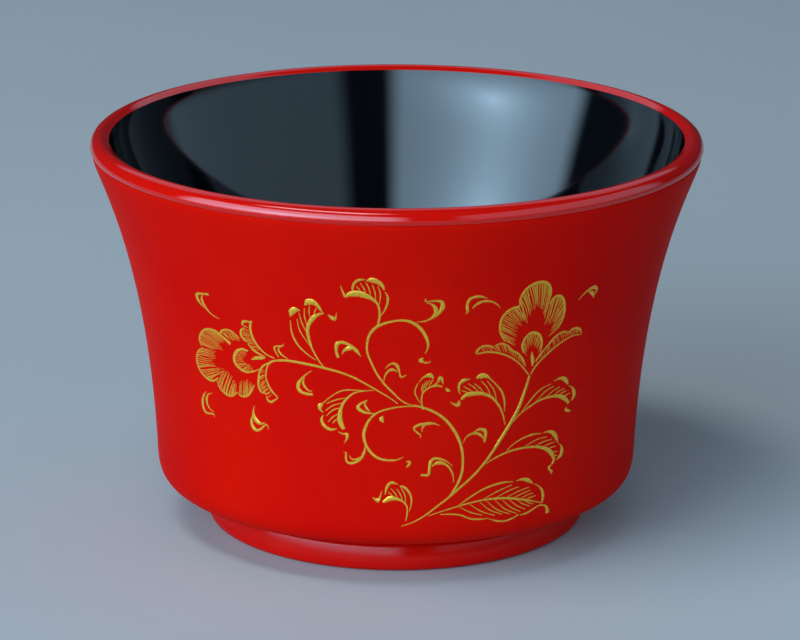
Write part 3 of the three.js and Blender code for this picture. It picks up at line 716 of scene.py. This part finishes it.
def right_flower():
    petal_1 = [
        ([(20.1, 50.4), (19.2, 51.9), (18.8, 53.6), (19, 55.3), (19.8, 56.6), (21, 57.3), (22.1, 57.4)],
         [0.3, 0.4, 0.45, 0.5, 0.5, 0.6, 0.6]),
        *hatch([(20.2, 50.4), (19.3, 52), (19, 53.6), (19.2, 55.2), (20, 56.5), (21.2, 57.1), (22.2, 57.2)],
               [(22.4, 48.9), (22.2, 50.1), (22.3, 51.6), (22.4, 52.8), (23, 53.4), (23.6, 53.8),
                (24.4, 53.6)],
               21, 0.24),
    ]
    petal_2 = [
        ([(22.2, 57.6), (22.1, 59.2), (22.7, 60.7), (23.6, 61.6), (24.9, 62.1), (26.2, 62), (27.3, 61.3),
          (28, 60), (28.2, 58.8)], [0.3, 0.5, 0.5, 0.6, 0.7, 0.7, 0.6, 0.5, 0.3]),
        *hatch([(22.4, 57.4), (22.4, 59.2), (23, 60.8), (24, 61.7), (25.2, 62), (26.4, 61.8), (27.4, 60.9),
                (28, 59.4), (28.2, 58.4)],
               [(23.7, 53.8), (24.4, 54.8), (24.9, 55.8), (25.5, 56.6), (26.1, 56.8), (26.7, 56.2),
                (27.2, 55), (27.5, 54), (27.6, 52.9)], 24, 0.28),
    ]
    petal_3 = [
        ([(28.4, 57), (28.8, 58), (29.6, 58.5), (30.6, 58.1), (31.4, 57), (31.9, 55.2), (31.9, 53.3),
          (31.3, 51.8), (30.2, 50.7), (29.2, 50)], [0.3, 0.5, 0.6, 0.6, 0.55, 0.5, 0.4, 0.35, 0.25, 0.15]),
        *hatch([(28.5, 56.8), (28.9, 58), (29.7, 58.4), (30.6, 58), (31.3, 56.8), (31.8, 55.2),
                (31.8, 53.6), (31.4, 52.2)],
               [(27.9, 52.7), (28.3, 52.6), (28.8, 52.6), (29.3, 52.7), (29.8, 52.9), (29.6, 52.2),
                (29.4, 51.4), (29.6, 50.6)], 20, 0.24),
    ]
    heart = [
        ([(24.2, 47.4), (23.8, 48.8), (24.1, 50.2), (24.9, 51.2), (25.8, 51.4), (26.9, 50.9), (27.7, 49.8),
          (28, 48.4), (27.9, 46.9)], [0.3, 0.5, 0.5, 0.5, 0.65, 0.65, 0.5, 0.4, 0.2]),
        *hatch([(24, 48.2), (24.2, 50), (25, 51), (25.9, 51.2), (26.9, 50.7), (27.6, 49.6), (27.9, 48.2)],
               [(24.9, 46.4), (24.9, 47.6), (25.2, 48.4), (25.8, 48.7), (26.4, 48.4), (27, 47.4),
                (27.7, 46.8)],
               15, 0.24),
    ]
    left_sepal = [
        ([(25.9, 42.5), (24.7, 44), (23.3, 45.5), (21.6, 46.8), (19.5, 47.9), (17, 48.5), (14.7, 48.3)],
         [0.3, 0.35, 0.35, 0.4, 0.45, 0.45, 0.4]),
        ([(25, 44.4), (24.3, 46), (23.2, 47.3), (21.8, 48.3), (20.8, 49.3), (19.4, 50), (18.2, 49.6)],
         [0.2, 0.35, 0.4, 0.4, 0.4, 0.45, 0.3]),
        ([(18, 49.3), (17, 49.8), (15.9, 49.8), (15.1, 49.3), (14.7, 48.5)], [0.3, 0.45, 0.5, 0.5, 0.5]),
        *hatch([(15.4, 49.6), (16.8, 49.8), (18.4, 49.6), (19.8, 49.8), (21, 49), (22.4, 47.8),
                (23.6, 46.8), (24.5, 45.5)],
               [(16.4, 48.6), (18, 48.5), (19.4, 48.2), (20.6, 47.8), (21.8, 47.1), (22.9, 46.3),
                (24, 45.3), (24.8, 44.4)], 20),
    ]
    right_sepal = [
        ([(26.3, 42.6), (27.5, 44.4), (29, 45.8), (31, 47.3), (33.1, 48.4), (35.2, 49), (37.4, 48.8)],
         [0.35, 0.4, 0.45, 0.45, 0.45, 0.4, 0.2]),
        ([(27.1, 45), (27.9, 46.4), (29.2, 47.8), (30.4, 49.2), (31.6, 50.1), (32.8, 50.3), (33.9, 49.9)],
         [0.3, 0.4, 0.4, 0.45, 0.5, 0.5, 0.3]),
        ([(33.9, 50), (35, 50.5), (36.2, 50.3), (36.9, 49.8), (37.2, 49.1)], [0.3, 0.5, 0.6, 0.5, 0.3]),
        *hatch([(27.8, 46), (28.8, 47.2), (30, 48.6), (31.2, 49.8), (32.8, 50.2), (34.2, 50.1),
                (35.6, 50.4), (36.6, 50)],
               [(27.9, 45), (29.2, 46.2), (30.6, 47.2), (31.9, 48), (33.4, 48.7), (34.6, 49.1),
                (35.6, 49.2), (36.4, 49.2)], 21),
    ]
    return {
        "gold_right_flower_petal_1": petal_1,
        "gold_right_flower_petal_2": petal_2,
        "gold_right_flower_petal_3": petal_3,
        "gold_right_flower_heart": heart,
        "gold_right_flower_pistil": [([(26, 47.3), (26.2, 46.3), (26.5, 45.2), (26.5, 44.2)],
                                      [0.2, 0.8, 0.9, 0.3])],
        "gold_right_flower_left_sepal": left_sepal,
        "gold_right_flower_right_sepal": right_sepal,
    }


def curls():
    """Loose double crescents, numbered as their CAD nodes: an outer and an inner mark each."""
    pairs = [
        [([(-41.2, 35.7), (-42.2, 34.6), (-42.8, 33.1), (-42.7, 31.8), (-42, 31.1), (-40.6, 31.2),
           (-39.6, 31.3), (-39.6, 30.7)], [0.15, 0.4, 0.5, 0.55, 0.5, 0.4, 0.4, 0.2]),
         ([(-39.4, 35.8), (-40.7, 35.2), (-41.4, 34), (-41.2, 32.7), (-40.3, 32), (-39.6, 31.8)],
          [0.1, 0.3, 0.5, 0.5, 0.35, 0.15])],
        [([(-36, 57.2), (-37.4, 57), (-38.9, 56.7), (-39.3, 55.8), (-38.8, 54.8), (-38, 54)],
          [0.5, 0.4, 0.45, 0.6, 0.5, 0.2]),
         ([(-37.6, 56.8), (-38.1, 55.8), (-37.8, 54.6), (-37, 53.5), (-35.9, 52.8), (-34.6, 52.4)],
          [0.2, 0.5, 0.5, 0.4, 0.3, 0.15])],
        [([(-29.1, 33.6), (-29.7, 32.2), (-29.6, 31), (-28.9, 30.3), (-27.8, 30.6), (-26.8, 31.5),
           (-26.1, 31.9), (-25.8, 30.9)], [0.15, 0.4, 0.6, 0.6, 0.45, 0.4, 0.3, 0.15]),
         ([(-28.7, 35.4), (-29.1, 34), (-29, 32.9), (-28.2, 32), (-27.3, 31.9), (-26.5, 32.2)],
          [0.12, 0.35, 0.6, 0.7, 0.5, 0.2])],
        [([(-22.2, 46.6), (-22.8, 47.6), (-22.9, 48.7), (-22, 48.9), (-21.2, 49.1), (-21, 49.6)],
          [0.2, 0.3, 0.4, 0.35, 0.4, 0.2]),
         ([(-20.4, 46.5), (-21.6, 47.2), (-22.2, 48.1), (-21.8, 48.7)], [0.2, 0.4, 0.45, 0.2])],
        [([(-15.8, 44.6), (-17.3, 43.4), (-18.4, 42), (-18.8, 40.8), (-18.3, 39.9), (-17.2, 39.6),
           (-15.9, 39.6)],
          [0.15, 0.3, 0.4, 0.6, 0.6, 0.5, 0.5]),
         ([(-17.4, 43), (-17.7, 41.8), (-17.3, 40.9), (-16.6, 40.3), (-16, 40.3)],
          [0.2, 0.4, 0.5, 0.35, 0.2])],
        [([(-6.4, 48.3), (-7.4, 49.7), (-8.6, 50.7), (-9.8, 51.1), (-10.7, 50.6), (-10.9, 49.2),
           (-10.6, 47.8)],
          [0.2, 0.6, 0.5, 0.55, 0.6, 0.45, 0.5]),
         ([(-9.9, 48.5), (-9.4, 49.4), (-8.4, 49.9), (-7.4, 49.8)], [0.15, 0.5, 0.7, 0.3])],
        [([(-5.9, 30.2), (-6.1, 28.6), (-6.7, 27.1), (-7.6, 26.3), (-8.8, 25.9), (-9.6, 26.2), (-9.8, 27.2),
           (-9.7, 28.1), (-10.2, 28)], [0.2, 0.35, 0.5, 0.4, 0.45, 0.5, 0.4, 0.4, 0.15]),
         ([(-9.1, 27.5), (-8.6, 26.8), (-7.6, 26.8), (-6.6, 27.5)], [0.15, 0.35, 0.45, 0.15])],
        [([(-3.9, 36.4), (-5.2, 36.5), (-6.4, 36.8), (-7.2, 37.5), (-6.9, 38.2), (-6.1, 38.8),
           (-5.4, 39.2)],
          [0.2, 0.4, 0.5, 0.6, 0.5, 0.4, 0.2]),
         ([(-4.9, 36.8), (-5.6, 37.6), (-5.9, 38.4), (-5.5, 38.9)], [0.2, 0.45, 0.4, 0.15])],
        [([(-2, 45.9), (-1.3, 46.7), (-0.5, 47), (0.2, 46.5), (0.6, 45.2), (0.9, 44.1), (1.9, 44.6)],
          [0.15, 0.3, 0.5, 0.5, 0.3, 0.4, 0.15]),
         ([(-2.3, 43), (-2.1, 44.2), (-1.5, 45.3), (-0.6, 45.7), (0.3, 45.2)],
          [0.15, 0.3, 0.4, 0.55, 0.15])],
        [([(8.5, 33.8), (7.2, 34.3), (5.8, 34.3), (4.4, 34.1), (3.4, 33.4), (4, 32.6), (4.7, 32),
           (4.7, 31.4)],
          [0.15, 0.35, 0.55, 0.5, 0.5, 0.35, 0.4, 0.2]),
         ([(5, 32.7), (5.1, 33.6), (5.9, 34.2)], [0.2, 0.4, 0.3])],
        [([(5.6, 56), (6.9, 56.8), (7.8, 58.1), (8, 59.1), (7.7, 59.9), (6.6, 60.1), (5, 60), (5, 60.6)],
          [0.2, 0.3, 0.5, 0.65, 0.55, 0.4, 0.35, 0.3]),
         ([(3.6, 55.7), (5.2, 55.9), (6.3, 56.6), (6.9, 57.7), (6.6, 58.8), (5.9, 59.5), (5.2, 59.7)],
          [0.15, 0.35, 0.4, 0.5, 0.65, 0.45, 0.15])],
        [([(11.2, 25.2), (10.1, 26.2), (8.8, 26.8), (7.6, 27), (6.9, 26.5), (6.6, 25.2), (6.4, 23.7),
           (4.9, 23.7)],
          [0.15, 0.3, 0.45, 0.5, 0.55, 0.5, 0.5, 0.4]),
         ([(11.5, 21.8), (11.3, 23.4), (10.5, 25), (9.3, 25.9), (8, 26), (7, 25.4)],
          [0.2, 0.35, 0.4, 0.45, 0.6, 0.3])],
        [([(12, 57.1), (12.5, 57.3), (12.3, 58.6), (12.5, 59.8), (13.2, 60.4), (14.4, 60.5), (15.8, 60)],
          [0.2, 0.5, 0.45, 0.5, 0.5, 0.45, 0.15]),
         ([(13.3, 58.1), (14, 58.9), (15.2, 59.4), (16.6, 59.2), (17.7, 58.5), (18.5, 57.5)],
          [0.3, 0.5, 0.45, 0.4, 0.3, 0.12])],
        [([(15.1, 31.9), (16.3, 32.4), (17.4, 32.1), (17.7, 31.1), (17.5, 29.6)],
          [0.15, 0.5, 0.6, 0.5, 0.4]),
         ([(13.1, 29.8), (13.7, 31), (14.7, 31.6), (15.9, 31.6), (16.9, 31), (17.3, 30.2)],
          [0.15, 0.3, 0.4, 0.5, 0.5, 0.2])],
        [([(34.8, 56.5), (35.6, 57.4), (36.6, 58.1), (37.6, 58.5), (38.6, 58.4), (39, 57.6), (38.8, 56.9)],
          [0.15, 0.3, 0.4, 0.5, 0.6, 0.5, 0.2]),
         ([(36.8, 58), (37.6, 57.6), (38.3, 57), (38.7, 56.2)], [0.2, 0.6, 0.6, 0.25])],
    ]
    named = {f"gold_curl_{i + 1}": pair for i, pair in enumerate(pairs)}
    named["gold_dab_drop"] = [([(-2.4, 36), (-2.8, 35.4), (-2.4, 34.7)], [0.15, 0.7, 0.4])]
    named["gold_dab_lower"] = [([(2, 26.5), (2.7, 26.5), (2.6, 25.9), (2, 25.3)], [0.2, 0.5, 0.5, 0.2])]
    named["gold_dab_upper"] = [
        ([(4.9, 48.1), (4.4, 47.6), (5, 47.2)], [0.3, 0.7, 0.4]),
        ([(5.1, 47.1), (6.1, 47.1), (6.2, 47.5)], [0.4, 0.35, 0.15]),
    ]
    return named


# ---------------------------------------------------------------- light and floor
PANEL_DISTANCE = 1.7
PANEL_TARGET = Vector((0, 0, 0.05))
SOFT_EDGE = 0.16       # share of a panel's width and height that its light fades out over
GLOW_FALLOFF = 0.1     # how much of the glow is left one metre from its middle
GLOW_FLOOR = 0.3       # brightness of the panel far from the glow
GLOW_SQUASH = 2.5      # how much faster the glow falls off upwards than sideways
DAYLIGHT = (0.5, 0.76, 1.0)
SKYLIGHT = (0.8, 0.9, 1.0)
ROOM_LIGHT = (0.02, 0.03, 0.045, 1)
FLOOR_RADIUS = 4


def shade_panel(tree, width, height, glow):
    """Fade a panel out at its edges, and make it brighter round the glow where it has one."""
    def add(kind, settings, *values):
        node = tree.nodes.new(kind)
        for key, value in settings.items():
            setattr(node, key, value)
        for target, value in zip(node.inputs, values):
            feed(tree, target, value)
        return node.outputs

    def calculate(operation, *values):
        return add("ShaderNodeMath", {"operation": operation}, *values)[0]

    place = tree.nodes.new("ShaderNodeNewGeometry").outputs["Parametric"]
    strength = 1.0
    for output in list(add("ShaderNodeSeparateXYZ", {}, place))[:2]:
        from_middle = calculate("ABSOLUTE", calculate("SUBTRACT", output, 0.5))
        fade = (0.5 - SOFT_EDGE, 0.5, 1.0, 0.0)    # full light inside the soft edge, none at its rim
        edge = add("ShaderNodeMapRange", {"interpolation_type": "SMOOTHSTEP"}, from_middle, *fade)[0]
        strength = calculate("MULTIPLY", strength, edge)
    if glow:
        scale = Vector((width, height * GLOW_SQUASH, 0))
        spot = Vector((glow[0] * scale.x, glow[1] * scale.y, 0))
        spread = add("ShaderNodeVectorMath", {"operation": "MULTIPLY"}, place, scale)[0]
        distance = add("ShaderNodeVectorMath", {"operation": "DISTANCE"}, spread, spot)[1]
        falloff = calculate("POWER", GLOW_FALLOFF, distance)
        bright = add("ShaderNodeMapRange", {}, falloff, 0.0, 1.0, GLOW_FLOOR, 1.0)[0]
        strength = calculate("MULTIPLY", strength, bright)
    tree.links.new(strength, tree.nodes["Emission"].inputs["Strength"])


def panel(name, azimuth, elevation, width, height, radiance, color=DAYLIGHT, upright=False, glow=None):
    """A soft light panel aimed at the bowl; azimuth 0 is the painted side, and angles are degrees.

    An upright panel stands square to the floor. glow, where given, is the place (0 to 1 across and
    up) that the panel is brightest at.
    """
    data = bpy.data.lights.new(name, "AREA")
    data.shape = "RECTANGLE"
    data.size = width
    data.size_y = height
    data.energy = radiance * math.pi * width * height
    data.color = color
    data.use_nodes = True
    shade_panel(data.node_tree, width, height, glow)
    lamp = bpy.data.objects.new(name, data)
    bpy.context.scene.collection.objects.link(lamp)
    a, e = math.radians(azimuth), math.radians(elevation)
    back = Vector((math.sin(a) * math.cos(e), -math.cos(a) * math.cos(e), math.sin(e)))
    lamp.location = PANEL_TARGET + back * PANEL_DISTANCE
    facing = Vector((back.x, back.y, 0)) if upright else back
    lamp.rotation_euler = facing.to_track_quat("Z", "Y").to_euler()
    lamp.visible_camera = False


def make_studio():
    bpy.ops.mesh.primitive_circle_add(vertices=96, radius=FLOOR_RADIUS, fill_type="NGON",
                                      location=(0, 0, 0))
    floor = bpy.context.object
    floor.name = "floor"
    floor.data.materials.append(floor_paint("floor_paint"))
    world = bpy.data.worlds.new("world")
    bpy.context.scene.world = world
    world.use_nodes = True
    world.node_tree.nodes["Background"].inputs["Color"].default_value = ROOM_LIGHT
    panel("window", azimuth=-41, elevation=24, width=3.39, height=1.6, radiance=16.5, upright=True,
          glow=(0.49, 0.36))
    panel("side_window", azimuth=67, elevation=25, width=3.43, height=1.55, radiance=1.15, upright=True)
    panel("back_fill", azimuth=180, elevation=48, width=2.6, height=1.2, radiance=0.8)
    panel("skylight", azimuth=-48, elevation=68, width=1.2, height=0.5, radiance=8, color=SKYLIGHT)
    bpy.context.scene.view_settings.view_transform = "Standard"


make_camera()
make_bowl()
make_foot()
for motifs, swell in ((stems(), 0), (leaves(), SWELL), (left_flower(), 0),
                      (right_flower(), 0), (curls(), SWELL)):
    for node, marks in motifs.items():
        gold_piece(node, marks, swell)
make_studio()
